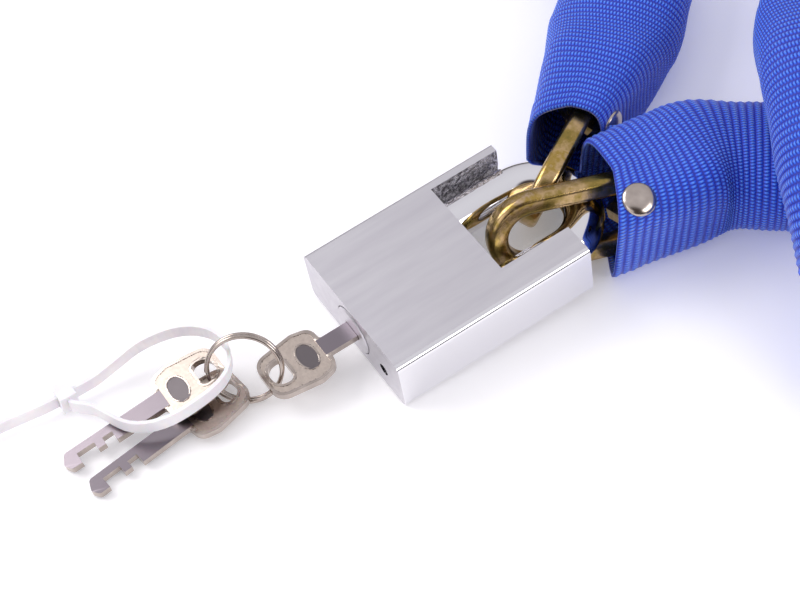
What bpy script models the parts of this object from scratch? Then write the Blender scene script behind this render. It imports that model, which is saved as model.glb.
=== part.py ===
"""Sleeved chain with a block padlock, three keys, a split ring and a cable tie.

Metres, +Z up. The origin is the centre of the padlock's back face. The padlock
lies on its back with the chain's end links under its shackle, so it is tipped up
by lockTilt: its own pieces hang on the empty lock_frame, which carries that tilt.
"""
import math

import bmesh
import bpy
from mathutils import Euler, Matrix, Vector

mm = 0.001

# padlock block, in the lock frame: x along the shackle, y across, z through
lockTilt = math.radians(4.0)
bodyLength = 71.2 * mm
bodyWidth = 55.0 * mm
bodyThickness = 21.0 * mm
edgeRound = 2.2 * mm
notchDepth = 25.3 * mm
toeWall = 4.1 * mm
heelWall = 11.6 * mm
midHeight = bodyThickness / 2
keyEnd = -bodyLength / 2
nose = bodyLength / 2
notchFloor = nose - notchDepth
gap = 0.3 * mm

# shackle
shackleRadius = 6.7 * mm
legOffset = 15.8 * mm
crownStart = 33.0 * mm
toeEnd = -3.5 * mm
heelEnd = -20.0 * mm
boreRadius = shackleRadius + 0.4 * mm
heelBoreEnd = -27.0 * mm

# cylinder and key
housingRadius = 8.0 * mm
housingRear = -11.2 * mm
housingPinPlace = (-31.3 * mm, 13.4 * mm)
stopScrewPlace = (-16.8 * mm, 8.3 * mm)
plugRadius = 6.1 * mm
plugHeadRadius = 8.5 * mm
plugRear = -9.0 * mm
clipFront = -9.8 * mm
clipRear = -10.8 * mm
grooveRadius = 5.0 * mm
camChamberRadius = 6.2 * mm
bladeHalf = 3.3 * mm
keyThickness = 2.3 * mm
bladeLength = 35.0 * mm
keyShoulder = -46.0 * mm
wafers = 4
waferThickness = 1.2 * mm
waferPitch = 4.6 * mm

# ball locking
ballRadius = 3.0 * mm
ballPlace = 2.5 * mm
ballRest = 5.8 * mm
camRest = 2.5 * mm
camLift = 2.4 * mm

# the ring of spare keys and its tie, on the table
ringCentre = (-71.70 * mm, 6.72 * mm, 8.85 * mm)
ringNormal = (-0.502, -0.750, 0.431)
ringRadius = 11.6 * mm
ringWire = 1.4 * mm
ringPitch = 1.6 * mm
ringStart = math.radians(200)
strapWidth = 4.8 * mm
strapThickness = 1.2 * mm

# chain
barSize = 6.8 * mm
linkWidthInside = 16.0 * mm
linkLengthInside = 42.0 * mm
linkPlay = 2.4 * mm
innerRadius = 3.3 * mm
innerLinks = 23
innerRoll = math.radians(42)
firstRoll = math.radians(30)
crossingRoll = math.radians(36)
crossingLinks = range(8, 14)

# sleeve
sleeveWall = 1.0 * mm
sleeveHalfWidth = 22.5 * mm
sleeveHalfHeight = 14.4 * mm
mouthHalfHeight = 17.4 * mm
mouthHalfWidthA = 11.5 * mm
mouthHalfWidthB = 19.0 * mm
mouthLength = 50.0 * mm
mouthTaper = 24.0 * mm
mouthLean = 8.0 * mm
tableHeight = keyEnd * math.sin(lockTilt)

for old in list(bpy.data.objects):
    bpy.data.objects.remove(old, do_unlink=True)

parts = bpy.data.collections.new("chain_lock")
cutters = bpy.data.collections.new("cutters")
bpy.context.scene.collection.children.link(parts)
bpy.context.scene.collection.children.link(cutters)

lockFrame = bpy.data.objects.new("lock_frame", None)
lockFrame.rotation_euler = (0, -lockTilt, 0)
parts.objects.link(lockFrame)
lockMatrix = Matrix.Rotation(-lockTilt, 4, "Y")


def makeMaterial(name, colour, roughness, metallic):
    """A Principled material with a linear base colour."""
    material = bpy.data.materials.new(name)
    material.use_nodes = True
    shader = material.node_tree.nodes["Principled BSDF"]
    shader.inputs["Base Color"].default_value = (*colour, 1)
    shader.inputs["Roughness"].default_value = roughness
    shader.inputs["Metallic"].default_value = metallic
    return material


chrome = makeMaterial("chrome", (0.78, 0.78, 0.80), 0.08, 1)
satinChrome = makeMaterial("satin_chrome", (0.62, 0.61, 0.64), 0.3, 1)
brass = makeMaterial("brass", (0.72, 0.52, 0.22), 0.3, 1)
steel = makeMaterial("steel", (0.45, 0.45, 0.46), 0.35, 1)
zinc = makeMaterial("yellow_zinc", (0.42, 0.30, 0.12), 0.25, 1)
nickel = makeMaterial("nickel", (0.55, 0.50, 0.45), 0.25, 1)
nylon = makeMaterial("blue_nylon", (0.02, 0.10, 0.62), 0.7, 0)
whiteNylon = makeMaterial("white_nylon", (0.85, 0.85, 0.86), 0.4, 0)


def addPart(name, mesh, material, inLock=True, collection=parts):
    """Link a mesh as one named piece, in the lock's tilted frame or on the table."""
    piece = bpy.data.objects.new(name, mesh)
    collection.objects.link(piece)
    if inLock:
        piece.parent = lockFrame
    if material:
        mesh.materials.clear()
        mesh.materials.append(material)
    return piece


def smooth(piece, angle=35):
    """Shade a round piece smooth, with its edges left sharp."""
    piece.data.shade_smooth()
    piece.data.set_sharp_from_angle(angle=math.radians(angle))


def boxMesh(name, low, high):
    """A box between two corners."""
    mesh = bpy.data.meshes.new(name)
    shape = bmesh.new()
    bmesh.ops.create_cube(shape, size=1)
    size = Vector(high) - Vector(low)
    middle = (Vector(high) + Vector(low)) / 2
    bmesh.ops.scale(shape, vec=size, verts=shape.verts)
    bmesh.ops.translate(shape, vec=middle, verts=shape.verts)
    shape.to_mesh(mesh)
    shape.free()
    return mesh


def rodMesh(name, radius, start, end, segments=32):
    """A cylinder from one point to another."""
    start = Vector(start)
    end = Vector(end)
    along = end - start
    turn = along.to_track_quat("Z", "Y").to_matrix().to_4x4()
    mesh = bpy.data.meshes.new(name)
    shape = bmesh.new()
    bmesh.ops.create_cone(
        shape, cap_ends=True, segments=segments, radius1=radius, radius2=radius,
        depth=along.length, matrix=Matrix.Translation((start + end) / 2) @ turn)
    shape.to_mesh(mesh)
    shape.free()
    return mesh


def cutWith(piece, mesh, inLock=True):
    """Cut a piece with a tool mesh, kept as a hidden wire object."""
    tool = addPart(mesh.name, mesh, None, inLock, cutters)
    tool.display_type = "WIRE"
    tool.hide_render = True
    boolean = piece.modifiers.new(mesh.name, "BOOLEAN")
    boolean.operation = "DIFFERENCE"
    boolean.object = tool
    return boolean


def turned(name, profile, material, segments=40, frame=None):
    """A turned piece about the x axis; profile is (x, radius) from its nose to its key end."""
    mesh = bpy.data.meshes.new(name)
    points = [(radius, 0, x) for x, radius in profile]
    mesh.from_pydata(points, [(i, i + 1) for i in range(len(points) - 1)], [])
    piece = addPart(name, mesh, material, frame is None)
    piece.matrix_local = (frame or cylinderFrame) @ Matrix.Rotation(math.pi / 2, 4, "Y")
    screw = piece.modifiers.new("turn", "SCREW")
    screw.steps = segments
    screw.render_steps = segments
    screw.use_merge_vertices = True
    screw.merge_threshold = 0.00001
    return piece


cylinderFrame = Matrix.Translation((0, 0, midHeight))


def meshFromCurve(name, curve, material, inLock, matrix=Matrix.Identity(4)):
    """Turn a curve into a welded mesh piece, placed by the matrix."""
    holder = bpy.data.objects.new(name, curve)
    parts.objects.link(holder)
    bpy.context.view_layer.update()
    evaluated = holder.evaluated_get(bpy.context.evaluated_depsgraph_get())
    mesh = bpy.data.meshes.new_from_object(evaluated)
    bpy.data.objects.remove(holder, do_unlink=True)
    shape = bmesh.new()
    shape.from_mesh(mesh)
    bmesh.ops.transform(shape, matrix=matrix, verts=shape.verts)
    bmesh.ops.remove_doubles(shape, verts=shape.verts, dist=0.000002)
    bmesh.ops.recalc_face_normals(shape, faces=shape.faces)
    shape.to_mesh(mesh)
    shape.free()
    mesh.name = name
    return addPart(name, mesh, material, inLock)


def tube(name, points, radius, resolution, material, inLock=True, closed=False):
    """A round bar or wire along points."""
    curve = bpy.data.curves.new(name, "CURVE")
    curve.dimensions = "3D"
    spline = curve.splines.new("POLY")
    spline.points.add(len(points) - 1)
    for point, place in zip(spline.points, points):
        point.co = (*place, 1)
    spline.use_cyclic_u = closed
    curve.bevel_depth = radius
    curve.bevel_resolution = resolution
    curve.use_fill_caps = not closed
    return meshFromCurve(name, curve, material, inLock)


def plate(name, outlines, thickness, material, inLock, matrix):
    """A flat plate with its outlines (the first outside, the rest holes) in its own xy plane."""
    curve = bpy.data.curves.new(name, "CURVE")
    curve.dimensions = "2D"
    curve.fill_mode = "BOTH"
    # filled in millimetres, since the fill joins points that are very close
    curve.extrude = thickness / 2 / mm
    for outline in outlines:
        spline = curve.splines.new("POLY")
        spline.points.add(len(outline) - 1)
        for point, (x, y) in zip(spline.points, outline):
            point.co = (x / mm, y / mm, 0, 1)
        spline.use_cyclic_u = True
    return meshFromCurve(name, curve, material, inLock, matrix @ Matrix.Scale(mm, 4))


def roundedOutline(corners, steps=4):
    """An outline through (x, y, radius) corners, each rounded by an arc."""
    outline = []
    count = len(corners)
    for i, (x, y, radius) in enumerate(corners):
        here = Vector((x, y))
        before = (Vector(corners[i - 1][:2]) - here).normalized()
        after = (Vector(corners[(i + 1) % count][:2]) - here).normalized()
        half = before.angle(after) / 2
        if radius == 0 or half > math.radians(89):
            outline.append((here.x, here.y))
            continue
        reach = radius / math.tan(half)
        centre = here + (before + after).normalized() * radius / math.sin(half)
        first = here + before * reach - centre
        last = here + after * reach - centre
        for step in range(steps + 1):
            spoke = first.slerp(last, step / steps, first).normalized() * radius
            outline.append((centre.x + spoke.x, centre.y + spoke.y))
    return outline


def makeBody():
    """The block: the shackle's bores, the notch between the shoulders and the cylinder's bore."""
    mesh = boxMesh("lock_body", (keyEnd, -bodyWidth / 2, 0), (nose, bodyWidth / 2, bodyThickness))
    shape = bmesh.new()
    shape.from_mesh(mesh)
    long = [e for e in shape.edges if abs(e.verts[0].co.x - e.verts[1].co.x) > bodyLength / 2]
    bmesh.ops.bevel(shape, geom=long, offset=edgeRound, segments=4, profile=0.5, affect="EDGES")
    shape.to_mesh(mesh)
    shape.free()
    body = addPart("lock_body", mesh, satinChrome)
    over = 1 * mm

    def bore(name, radius, start, end, y=0, z=midHeight, segments=40):
        cutWith(body, rodMesh(name, radius, (start, y, z), (end, y, z), segments))

    notchLow = (notchFloor, -bodyWidth / 2 + heelWall, -over)
    notchHigh = (nose + over, bodyWidth / 2 - toeWall, bodyThickness + over)
    cutWith(body, boxMesh("notch", notchLow, notchHigh))
    bore("toe_bore", boreRadius, toeEnd - over, notchFloor + over, legOffset)
    bore("heel_bore", boreRadius, heelBoreEnd, nose + over, -legOffset)
    bore("shoulder_channel", boreRadius + 1.2 * mm, notchFloor + 0.2 * mm, nose + over, legOffset)
    bore("cylinder_bore", housingRadius + gap, keyEnd - over, clipFront + 0.4 * mm)
    bore("head_seat", plugHeadRadius + gap, keyEnd - over, keyEnd + 2.3 * mm)
    bore("cam_chamber", camChamberRadius, clipRear, 7.6 * mm, segments=32)
    bore("stop_screw_hole", 2.1 * mm, keyEnd - over, heelBoreEnd + over, *stopScrewPlace, 24)
    cutWith(body, rodMesh("ball_channel", ballRadius + gap, (ballPlace, -12 * mm, midHeight),
                          (ballPlace, 12 * mm, midHeight), 24))
    pinX, pinZ = housingPinPlace
    cutWith(body, rodMesh("housing_pin_hole", 1.5 * mm, (pinX, -bodyWidth / 2 - over, pinZ),
                          (pinX, -7.0 * mm, pinZ), 20))
    smooth(body)


def makeFixedPieces():
    """The cylinder's housing, its pin, the stop screw and the shackle's spring."""
    front = keyEnd + 2.3 * mm
    inner = plugRadius + gap
    housing = turned("cylinder_housing", [
        (housingRear, inner), (housingRear, housingRadius), (front, housingRadius),
        (front, inner), (housingRear, inner)], brass)
    pinX, pinZ = housingPinPlace
    cutWith(housing, rodMesh("pin_seat", 1.5 * mm, (pinX, -12 * mm, pinZ), (pinX, -6.9 * mm, pinZ), 20))
    smooth(housing)
    pinMesh = rodMesh("housing_pin", 1.2 * mm, (pinX, -26.9 * mm, pinZ), (pinX, -7.2 * mm, pinZ), 16)
    smooth(addPart("housing_pin", pinMesh, steel))
    start = (keyEnd + 3.2 * mm, *stopScrewPlace)
    end = (heelBoreEnd - 0.6 * mm, *stopScrewPlace)
    screw = addPart("bore_stop_screw", rodMesh("bore_stop_screw", 1.8 * mm, start, end, 24), steel)
    cutWith(screw, rodMesh("hex_socket", 1.0 * mm, (keyEnd + 2 * mm, *stopScrewPlace),
                           (keyEnd + 5.5 * mm, *stopScrewPlace), 6))
    smooth(screw)
    turns = 3.5
    perTurn = 12
    wire = 0.5 * mm
    coilRadius = 4.6 * mm
    first = heelBoreEnd + wire + gap
    last = heelEnd - wire - gap
    steps = int(turns * perTurn)
    coil = []
    for i in range(steps + 1):
        angle = 2 * math.pi * i / perTurn
        coil.append((first + (last - first) * i / steps, -legOffset + coilRadius * math.cos(angle),
                     midHeight + coilRadius * math.sin(angle)))
    smooth(tube("shackle_spring", coil, wire, 1, steel), 60)


def makePlug():
    """The plug with its keyway, groove and wafer slots."""
    headRear = keyEnd + 2.0 * mm
    headFace = keyEnd - 0.5 * mm
    plug = turned("cylinder_plug", [
        (plugRear, 0), (plugRear, plugRadius), (clipFront + 0.1 * mm, plugRadius),
        (clipFront + 0.1 * mm, grooveRadius), (clipRear - 0.1 * mm, grooveRadius),
        (clipRear - 0.1 * mm, plugRadius), (headRear, plugRadius), (headRear, plugHeadRadius),
        (headFace + 0.4 * mm, plugHeadRadius), (headFace, plugHeadRadius - 0.4 * mm),
        (headFace, 0)], satinChrome, 48)
    slack = 0.35 * mm
    keywayHalf = bladeHalf + slack
    keywayRise = keyThickness / 2 + slack
    cutWith(plug, boxMesh("keyway", (keyEnd - 2 * mm, -keywayHalf, midHeight - keywayRise),
                          (keyShoulder + bladeLength + 0.6 * mm, keywayHalf, midHeight + keywayRise)))
    for i in range(wafers):
        x = keyEnd + 6.4 * mm + i * waferPitch
        half = waferThickness / 2
        cutWith(plug, boxMesh(f"wafer_slot_{i + 1}", (x - half - gap, -8 * mm, midHeight - 2.9 * mm),
                              (x + half + gap, 8 * mm, midHeight + 2.9 * mm)))
        wafer = addPart(f"wafer_{i + 1}", boxMesh(
            f"wafer_{i + 1}", (x - half, -5.1 * mm, midHeight - 2.6 * mm),
            (x + half, 5.1 * mm, midHeight + 2.6 * mm)), brass)
        cutWith(wafer, boxMesh(f"wafer_window_{i + 1}", (x - 2 * mm, -4.2 * mm, midHeight - 1.6 * mm),
                               (x + 2 * mm, 4.2 * mm, midHeight + 1.6 * mm)))
    smooth(plug)


def makeMechanism():
    """The plug's clip, the cam behind it and the two balls that hold the shackle."""
    inner = grooveRadius + 0.2 * mm
    outer = 7.0 * mm
    steps = 20
    opening = math.radians(35)
    arc = [opening + (2 * math.pi - 2 * opening) * i / steps for i in range(steps + 1)]
    ring = [(outer * math.cos(a), outer * math.sin(a)) for a in arc]
    ring += [(inner * math.cos(a), inner * math.sin(a)) for a in reversed(arc)]
    facing = Matrix.Rotation(math.pi / 2, 4, "Y")
    middle = Matrix.Translation(((clipFront + clipRear) / 2, 0, midHeight))
    smooth(plate("plug_clip", [ring], clipFront - clipRear, steel, True, middle @ facing))

    count = 48
    lobe = []
    for i in range(count):
        angle = 2 * math.pi * i / count
        away = math.asin(abs(math.sin(angle))) / (math.pi / 2)
        radius = camRest + camLift * (1 - away)
        lobe.append((radius * math.cos(angle), radius * math.sin(angle)))
    front = plugRear + gap
    rear = ballPlace + 3.4 * mm
    middle = Matrix.Translation(((front + rear) / 2, 0, midHeight))
    smooth(plate("drive_cam", [lobe], rear - front, steel, True, middle @ facing))
    for name, side in (("locking_ball_toe", 1), ("locking_ball_heel", -1)):
        mesh = bpy.data.meshes.new(name)
        shape = bmesh.new()
        bmesh.ops.create_uvsphere(shape, u_segments=16, v_segments=10, radius=ballRadius)
        bmesh.ops.translate(shape, vec=(ballPlace, side * ballRest, midHeight), verts=shape.verts)
        shape.to_mesh(mesh)
        shape.free()
        smooth(addPart(name, mesh, steel), 60)


def makeShackle():
    """The hardened U, with the balls' notches on the inner sides of its legs."""
    line = [(toeEnd, legOffset, midHeight), (crownStart / 2, legOffset, midHeight)]
    bends = 20
    for i in range(bends + 1):
        angle = math.pi * i / bends
        line.append((crownStart + legOffset * math.sin(angle), legOffset * math.cos(angle), midHeight))
    line += [(crownStart / 2, -legOffset, midHeight), (heelEnd, -legOffset, midHeight)]
    shackle = tube("shackle", line, shackleRadius, 8, chrome)
    innerSide = legOffset - shackleRadius
    depth = innerSide + 2.5 * mm
    over = innerSide - 1 * mm
    notchRear = ballPlace + 3.4 * mm
    cutWith(shackle, boxMesh("toe_notch", (ballPlace - 3.4 * mm, over, 0),
                             (notchRear, depth, bodyThickness)))
    cutWith(shackle, boxMesh("heel_notch", (heelEnd + 4 * mm, -depth, 0),
                             (notchRear, -over, bodyThickness)))
    smooth(shackle, 50)


def keyOutline():
    """The key's outline: bow on the left, blade to the right with two notches in one edge."""
    tip = bladeLength
    small = (tip - 17.7 * mm, tip - 14.2 * mm, 0.4 * mm)
    large = (tip - 11.4 * mm, tip - 5.2 * mm, 0.7 * mm)
    step = -bladeHalf + 1.0 * mm
    return roundedOutline([
        (0, bladeHalf, 0.8 * mm), (-0.6 * mm, 8.6 * mm, 4.0 * mm), (-7.0 * mm, 10.2 * mm, 4.0 * mm),
        (-22.0 * mm, 8.0 * mm, 5.0 * mm), (-22.0 * mm, -8.0 * mm, 5.0 * mm),
        (-7.0 * mm, -10.2 * mm, 4.0 * mm), (-0.6 * mm, -8.6 * mm, 4.0 * mm), (0, -bladeHalf, 0.8 * mm),
        (small[0], -bladeHalf, 0), (small[0], small[2], 0), (small[1], small[2], 0), (small[1], step, 0),
        (large[0], step, 0), (large[0], large[2], 0), (large[1], large[2], 0), (large[1], -bladeHalf, 0),
        (tip - 1.6 * mm, -bladeHalf, 1.0 * mm), (tip, -bladeHalf + 2.6 * mm, 1.4 * mm),
        (tip - 1.8 * mm, bladeHalf, 1.6 * mm)])


def makeKey(name, matrix, inLock):
    """One key, with its shoulder at the matrix's origin and its blade along +x."""
    near = -13.4 * mm
    far = -19.9 * mm
    half = 4.6 * mm
    hole = roundedOutline([(near, half, 2.2 * mm), (far, half, 4.0 * mm),
                           (far, -half, 4.0 * mm), (near, -half, 2.2 * mm)])
    smooth(plate(name, [keyOutline(), hole], keyThickness, nickel, inLock, matrix))


def makeKeys():
    """The key in the plug, and two more on the table with their notches turned away."""
    makeKey("key_1", Matrix.Translation((keyShoulder, 0, midHeight)), True)
    for name, (place, turn) in spareKeys.items():
        angles = [math.radians(a) for a in turn]
        matrix = Euler(angles, "ZYX").to_matrix().to_4x4() @ Matrix.Rotation(math.pi, 4, "X")
        makeKey(name, Matrix.Translation(onTable([place])[0]) @ matrix, False)


# shoulder (millimetres, height above the table) and turn of each spare key
spareKeys = {
    "key_2": ((-97.97, 13.97, 6.70), (-2.02, -8.70, 179.51)),
    "key_3": ((-95.43, 5.50, 3.10), (-1.55, -2.90, 187.04)),
}


def makeRing():
    """A split ring: two turns of wire, side by side."""
    turn = Vector(ringNormal).to_track_quat("Z", "Y").to_matrix()
    points = []
    perTurn = 28
    for i in range(2 * perTurn - 1):
        angle = 2 * math.pi * i / perTurn + ringStart
        rise = ringPitch * (i / perTurn - 1)
        spoke = Vector((ringRadius * math.cos(angle), ringRadius * math.sin(angle), rise))
        points.append(turn @ spoke + Vector(ringCentre))
    smooth(tube("key_ring", points, ringWire / 2, 1, nickel, False), 60)


def makeTie():
    """A cable tie through the ring: its strap stands on edge, and its tail runs through its head."""
    route = smoothRoute(onTable(tieRoute), 2.5 * mm)
    shape = bmesh.new()
    rings = []
    for i, centre in enumerate(route):
        along = (route[min(i + 1, len(route) - 1)] - route[max(i - 1, 0)]).normalized()
        side = Vector((0, 0, 1)).cross(along).normalized()
        up = along.cross(side)
        corners = ((1, 1), (-1, 1), (-1, -1), (1, -1))
        rings.append([shape.verts.new(centre + side * (x * strapThickness / 2) + up * (y * strapWidth / 2))
                      for x, y in corners])
    for ring, following in zip(rings, rings[1:]):
        for i in range(4):
            j = (i + 1) % 4
            shape.faces.new((ring[i], ring[j], following[j], following[i]))
    shape.faces.new(rings[0])
    shape.faces.new(rings[-1])
    bmesh.ops.recalc_face_normals(shape, faces=shape.faces)
    mesh = bpy.data.meshes.new("cable_tie")
    shape.to_mesh(mesh)
    shape.free()
    x, y, z = onTable([tieHead])[0]
    low = Vector((x - 2.8 * mm, y - 3.3 * mm, z - 3.7 * mm))
    high = Vector((x + 2.8 * mm, y + 3.3 * mm, z + 3.7 * mm))
    head = addPart("tie_head", boxMesh("tie_head", low, high), whiteNylon, False, cutters)
    head.hide_render = True
    head.display_type = "WIRE"
    slotHalf = strapThickness / 2 + 0.4 * mm
    slotRise = strapWidth / 2 + 0.4 * mm
    cutWith(head, boxMesh("tie_slot", (x - 5 * mm, y - slotHalf, z - slotRise),
                          (x + 5 * mm, y + slotHalf, z + slotRise)), False)
    tie = addPart("cable_tie", mesh, whiteNylon, False)
    join = tie.modifiers.new("head", "BOOLEAN")
    join.operation = "UNION"
    join.object = head
    smooth(tie, 40)


# the strap from its head, through the ring and back through the head (millimetres, height above the table)
tieHead = (-120.8, 35.3, 3.9)
tieRoute = [
    (-120.8, 33.1, 3.9), (-120.4, 30.0, 4.4), (-116.5, 22.0, 8.8), (-110.7, 9.8, 9.6),
    (-101.4, 4.3, 10.4), (-89.0, 3.2, 12.4), (-79.5, 5.0, 13.8), (-74.5, 10.0, 14.4),
    (-72.6, 17.0, 13.8), (-75.0, 25.5, 12.4), (-82.0, 32.0, 11.0), (-93.0, 35.6, 8.6),
    (-103.0, 35.7, 5.8), (-110.0, 35.3, 4.2), (-115.0, 35.3, 3.9), (-120.8, 35.3, 3.9),
    (-127.0, 35.3, 3.9), (-132.0, 36.0, 3.6), (-143.0, 37.5, 3.2), (-156.0, 38.5, 3.0)]


def smoothRoute(points, step):
    """A Catmull-Rom curve through points, resampled at even steps."""
    full = [points[0] * 2 - points[1]] + list(points) + [points[-1] * 2 - points[-2]]
    fine = []
    for a, b, c, d in zip(full, full[1:], full[2:], full[3:]):
        for i in range(24):
            t = i / 24
            fine.append(0.5 * ((2 * b) + (c - a) * t + (2 * a - 5 * b + 4 * c - d) * t * t
                               + (3 * b - a - 3 * c + d) * t ** 3))
    fine.append(points[-1])
    lengths = [0.0]
    for a, b in zip(fine, fine[1:]):
        lengths.append(lengths[-1] + (b - a).length)
    count = round(lengths[-1] / step)
    even = []
    place = 0
    for i in range(count + 1):
        target = lengths[-1] * i / count
        while place < len(fine) - 2 and lengths[place + 1] < target:
            place += 1
        share = (target - lengths[place]) / (lengths[place + 1] - lengths[place])
        even.append(fine[place].lerp(fine[place + 1], share))
    return even


def linkMesh(name, middle, along, across, insideLength, section, bends):
    """A chain link: a stadium-shaped loop whose bar has the given section points."""
    bendRadius = (linkWidthInside + barSize) / 2
    straight = (insideLength + barSize) / 2 - bendRadius
    facing = along.cross(across)
    loop = []
    for side in (1, -1):
        for i in range(bends + 1):
            angle = math.pi * (i / bends - 0.5)
            spoke = along * (side * math.cos(angle)) + across * (side * math.sin(angle))
            loop.append((middle + along * (side * straight) + spoke * bendRadius, spoke))
    shape = bmesh.new()
    rings = []
    for centre, spoke in loop:
        rings.append([shape.verts.new(centre + spoke * x + facing * y) for x, y in section])
    for ring, following in zip(rings, rings[1:] + rings[:1]):
        for i in range(len(section)):
            j = (i + 1) % len(section)
            shape.faces.new((ring[i], ring[j], following[j], following[i]))
    bmesh.ops.recalc_face_normals(shape, faces=shape.faces)
    mesh = bpy.data.meshes.new(name)
    shape.to_mesh(mesh)
    shape.free()
    return mesh


def squareSection(size, corner, steps):
    """A square bar's section with rounded corners."""
    half = size / 2 - corner
    points = []
    for quarter in range(4):
        cx = half if quarter in (0, 3) else -half
        cy = half if quarter in (0, 1) else -half
        for i in range(steps + 1):
            angle = math.pi / 2 * (quarter + i / steps)
            points.append((cx + corner * math.cos(angle), cy + corner * math.sin(angle)))
    return points


def onTable(points):
    """Route points (x, y, height above the table) in millimetres, as vectors in metres."""
    return [Vector((x * mm, y * mm, h * mm + tableHeight)) for x, y, h in points]


# the chain's route from one end link to the other, looped up beyond the lock
chainRoute = onTable([
    (71.5, 27.1, 16.6), (84, 37, 16.0), (97, 47.5, 15.0), (112, 60, 14.7), (128, 77, 14.7),
    (140, 100, 14.7), (151, 126, 14.7), (171, 147, 14.7), (198, 155, 14.7), (224, 147, 14.7),
    (240, 126, 14.7), (241, 99, 14.7), (227, 74, 14.7), (205, 52, 14.7), (182, 31, 16.0),
    (161, 11, 24.5), (143, -6, 36.0), (129, -25, 44.5), (117, -45, 45.0), (106, -65, 39.5),
    (97, -87, 27.0), (93, -110, 16.5), (96, -134, 14.7), (110, -155, 14.7), (133, -168, 14.7),
    (160, -171, 14.7), (187, -163, 14.7), (208, -145, 14.7), (218, -120, 14.7), (214, -94, 14.7),
    (198, -73, 14.7), (174, -61, 14.7), (148, -54, 14.7), (126, -42, 14.7), (108, -27, 14.7),
    (92, -16, 15.0), (76, -13, 15.8), (59.6, -14.9, 15.6)])
loopPoints = range(5, 14)
loopOut = Vector((0.75, 0.66, 0))
mouthA, mouthB = onTable([(59.5, 19.0, 17.3), (54.0, -10.2, 17.3)])

# centre, long axis and width axis of each end link, on the table
endLinks = {
    "end_link_a": ((54.27 * mm, 16.31 * mm, 13.84 * mm), (0.847, 0.531, 0.022), (0.143, -0.269, 0.953)),
    "end_link_b": ((40.17 * mm, -8.70 * mm, 13.75 * mm), (0.952, -0.304, -0.040), (0.122, 0.258, 0.958)),
}


def marchChain(route):
    """Points a fixed chord apart along the route, where one link hooks the next."""
    chord = linkLengthInside - linkPlay
    points = [route[0]]
    place = 0
    while True:
        here = points[-1]
        while place < len(route) - 1 and (route[place + 1] - here).length < chord:
            place += 1
        if place >= len(route) - 1:
            return points
        a = route[place]
        b = route[place + 1]
        low, high = 0.0, 1.0
        for _ in range(30):
            middle = (low + high) / 2
            if (a.lerp(b, middle) - here).length < chord:
                low = middle
            else:
                high = middle
        points.append(a.lerp(b, high))


def closedRoute():
    """The route and its hook points, with the far loop let out until whole links fill it."""
    chord = linkLengthInside - linkPlay
    low, high = -20 * mm, 40 * mm
    for _ in range(24):
        slack = (low + high) / 2
        points = [p + loopOut * slack if i in loopPoints else p for i, p in enumerate(chainRoute)]
        route = smoothRoute(points, 1 * mm)
        hooks = marchChain(route)
        filled = len(hooks) - 1 + (hooks[-1] - route[-1]).length / chord
        if filled < innerLinks:
            low = slack
        else:
            high = slack
    return points, hooks[:innerLinks] + [route[-1]]


def makeChain(hooks):
    """Two end links on the shackle, and the links between them along the route."""
    exposed = squareSection(barSize, 2.1 * mm, 2)
    for name, (middle, along, across) in endLinks.items():
        along = Vector(along).normalized()
        across = Vector(across)
        across = (across - along * across.dot(along)).normalized()
        mesh = linkMesh(name, Vector(middle), along, across, linkLengthInside, exposed, 12)
        smooth(addPart(name, mesh, zinc, False), 50)
    sides = 6
    hidden = []
    for i in range(sides):
        angle = 2 * math.pi * (i + 0.5) / sides
        hidden.append((innerRadius * math.cos(angle), innerRadius * math.sin(angle)))
    for i, (start, end) in enumerate(zip(hooks, hooks[1:])):
        along = (end - start).normalized()
        left = Vector((0, 0, 1)).cross(along).normalized()
        up = along.cross(left)
        roll = crossingRoll if i in crossingLinks else innerRoll
        if i in (0, innerLinks - 1):
            roll = firstRoll
        elif i % 2:
            roll = -roll
        across = left * math.cos(roll) + up * math.sin(roll)
        name = f"chain_link_{i + 1:02d}"
        inside = (end - start).length + linkPlay
        mesh = linkMesh(name, (start + end) / 2, along, across, inside, hidden, 5)
        smooth(addPart(name, mesh, zinc, False), 60)


def sleeveRings(points):
    """Rings of points round the chain's route, taller at the two mouths for the end links."""
    step = 12 * mm
    line = smoothRoute([mouthA] + points[1:-1] + [mouthB], step)
    count = len(line)
    sides = 16
    rings = []
    for i, centre in enumerate(line):
        along = (line[min(i + 1, count - 1)] - line[max(i - 1, 0)]).normalized()
        left = Vector((0, 0, 1)).cross(along).normalized()
        up = along.cross(left)
        toTaper = (mouthLength - min(i, count - 1 - i) * step) / mouthTaper
        flare = min(1.0, max(0.0, toTaper))
        mouthHalfWidth = mouthHalfWidthA if i < count / 2 else mouthHalfWidthB
        narrow = max(0.0, 1 - min(i, count - 1 - i) * step / mouthLength)
        halfWidth = sleeveHalfWidth + (mouthHalfWidth - sleeveHalfWidth) * narrow
        halfHeight = sleeveHalfHeight + (mouthHalfHeight - sleeveHalfHeight) * flare
        if flare > 0:
            centre = Vector((centre.x, centre.y, tableHeight + halfHeight - 0.6 * mm * flare))
        boxy = 0.8 - 0.3 * flare
        outOfMouth = -along if i < count / 2 else along
        ring = []
        for j in range(sides):
            angle = 2 * math.pi * j / sides
            across = math.copysign(abs(math.cos(angle)) ** boxy, math.cos(angle))
            rise = math.copysign(abs(math.sin(angle)) ** boxy, math.sin(angle))
            lean = outOfMouth * (mouthLean * narrow ** 2 * max(0.0, across))
            ring.append(centre + left * (across * halfWidth) + up * (rise * halfHeight) + lean)
        rings.append(ring)
    return rings


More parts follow.
